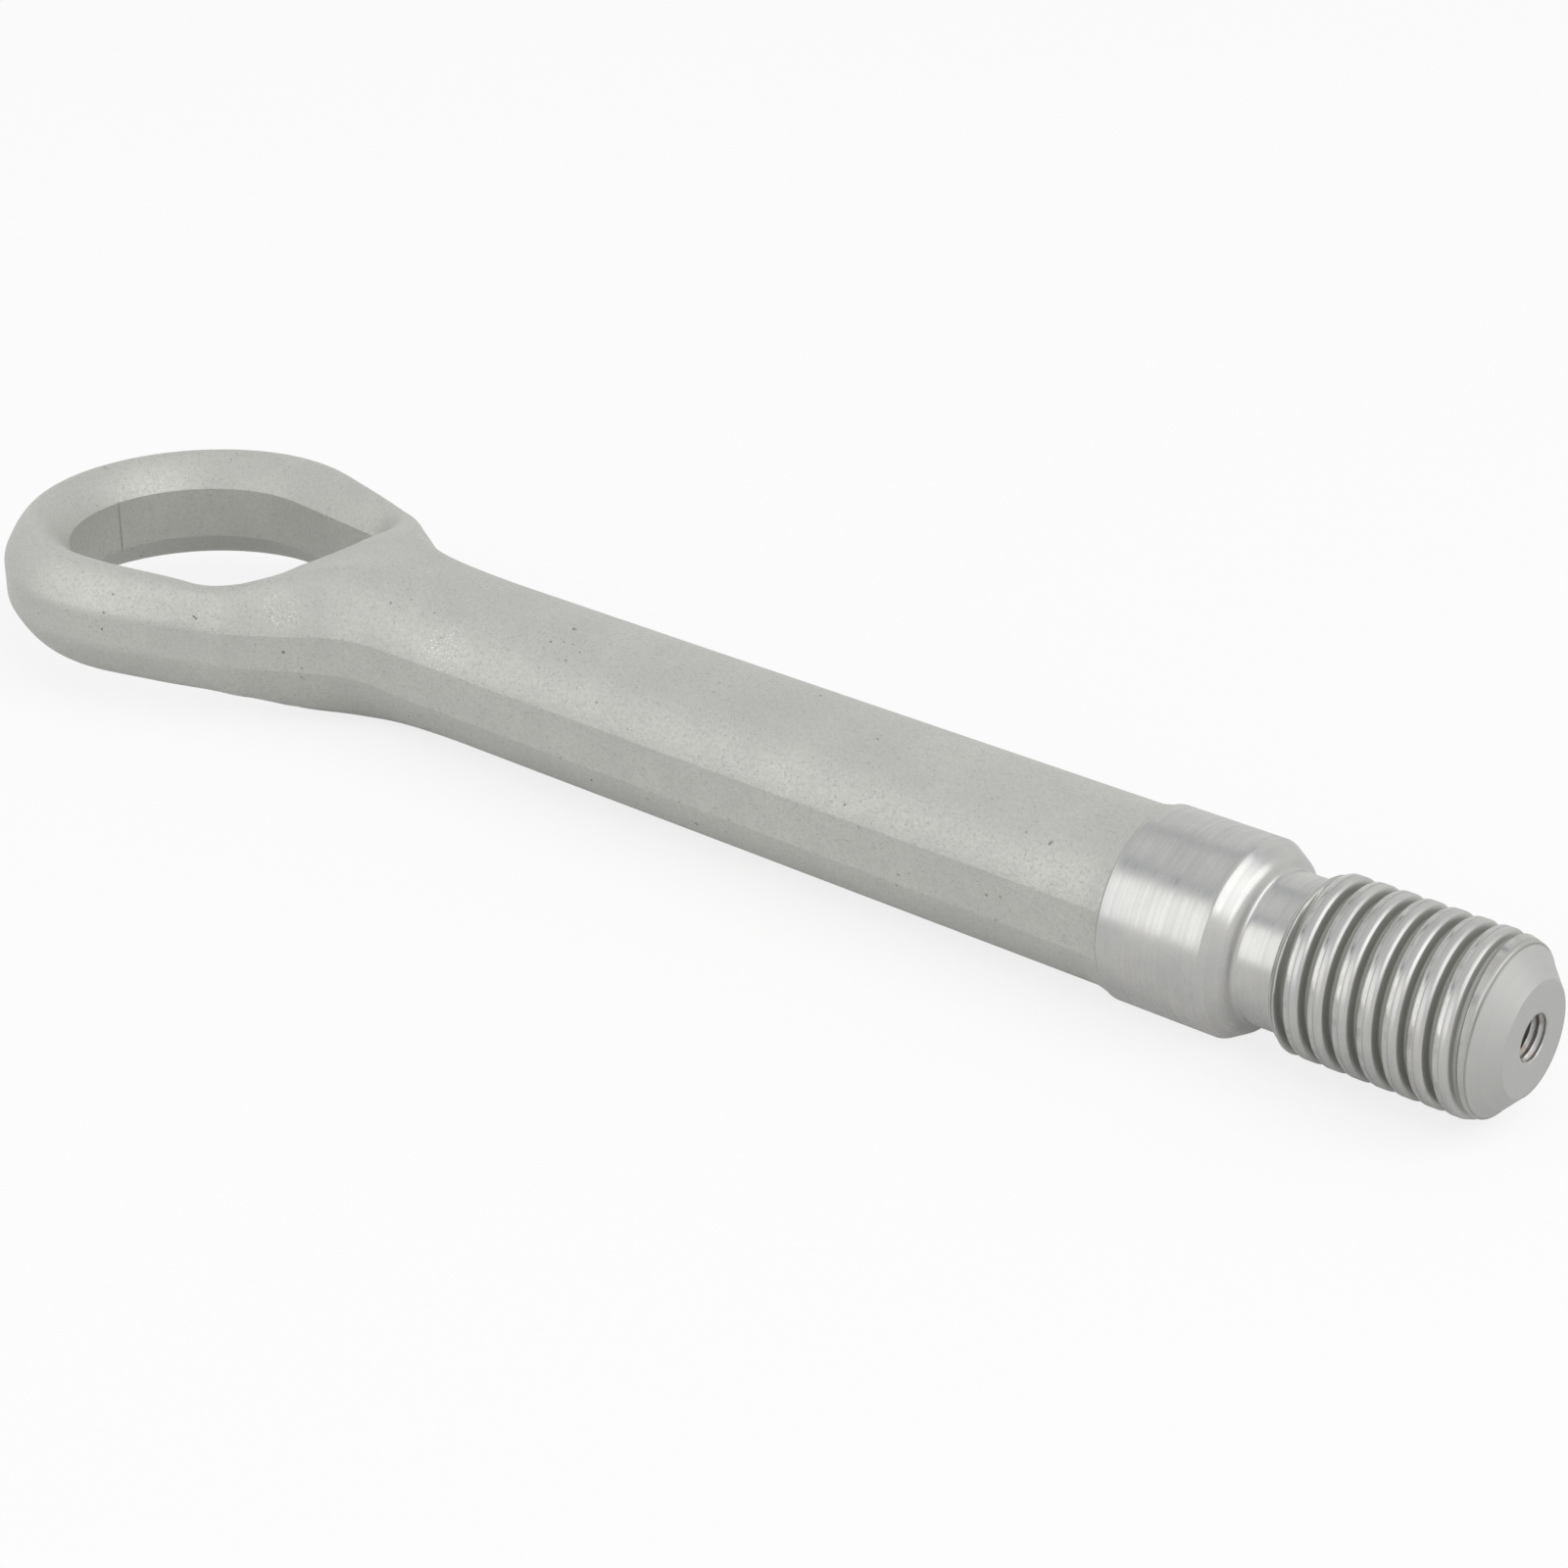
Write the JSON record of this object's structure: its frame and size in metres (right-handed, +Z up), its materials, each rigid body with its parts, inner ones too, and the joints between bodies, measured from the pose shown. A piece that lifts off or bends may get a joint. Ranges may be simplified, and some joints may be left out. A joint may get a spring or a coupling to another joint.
{
  "type": "recovery tow hook",
  "caption": "Forged steel recovery tow hook: a flat rounded eye on a long round shank with side flats, a turned collar and neck, and a coarse right-hand thread with a tapped end hole.",
  "frame": {"origin": "bottom centre of the bounding box, under the middle of the length", "axes": "+X along the shank's axis towards the threaded end, +Y to the left of it across the eye, +Z up, through the eye's hole"},
  "size_m": [0.2, 0.0454, 0.02],
  "materials": {
    "steel": "light grey matt coated forging, with a bright satin turned collar, neck and thread"
  },
  "bodies": {
    "root": {"tow_hook": "steel"}
  },
  "joints": []
}
